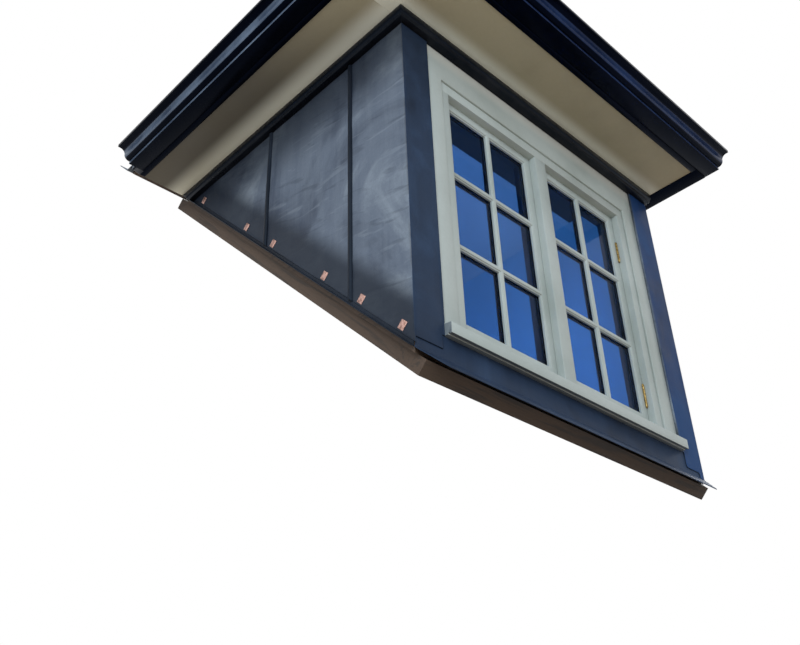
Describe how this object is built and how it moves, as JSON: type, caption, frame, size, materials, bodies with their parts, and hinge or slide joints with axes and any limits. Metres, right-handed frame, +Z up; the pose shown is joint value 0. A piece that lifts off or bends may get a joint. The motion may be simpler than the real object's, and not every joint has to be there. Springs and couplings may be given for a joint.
{
  "type": "dormer window",
  "caption": "Flat-roofed lead-clad dormer with a two-light timber casement window, boxed eaves, moulded gutter and lead flashings for a sloping roof",
  "frame": {"origin": "middle of the front seat rail's underside, on the plane of the main roof's rafters", "axes": "+X to the right along the window seen from outside, +Y level into the building, +Z up"},
  "size_m": [1.866, 1.8477, 1.5298],
  "materials": {
    "timber": "sawn",
    "plaster": "matte",
    "lead": "dull",
    "copper": "dull",
    "cream_paint": "satin",
    "soffit_paint": "matte",
    "glass": "polished",
    "black_paint": "gloss",
    "gutter_metal": "gloss"
  },
  "bodies": {
    "root": {"seat_front": "timber", "seat_left": "timber", "seat_right": "timber", "seat_back": "timber", "under_sill_wall": "timber", "corner_post_left": "timber", "corner_post_right": "timber", "lintel": "timber", "front_boards": "timber", "cheek_wall_left": "plaster", "cheek_wall_right": "plaster", "cheek_boards_left": "timber", "cheek_boards_right": "timber", "lead_corner_left": "lead", "lead_corner_right": "lead", "lead_bays_left": "lead", "lead_bays_right": "lead", "lead_rolls": "lead", "lead_apron": "lead", "soakers": "lead", "copper_clips": "copper", "sill": "cream_paint", "frame_head": "cream_paint", "frame_jamb_left": "cream_paint", "frame_jamb_right": "cream_paint", "mullion": "cream_paint", "casing": "cream_paint", "sash_left": "cream_paint", "sash_right": "cream_paint", "panes_left": "glass", "panes_right": "glass", "bed_mould_front": "black_paint", "bed_mould_left": "black_paint", "soffit_front": "soffit_paint", "soffit_left": "soffit_paint", "fascia_front": "black_paint", "fascia_left": "black_paint", "verge_board": "black_paint", "gutter_front": "gutter_metal", "gutter_left": "gutter_metal", "roof_joists": "timber", "lookouts": "timber", "roof_deck": "timber", "ceiling": "plaster", "lead_roof": "lead"}
  },
  "joints": []
}
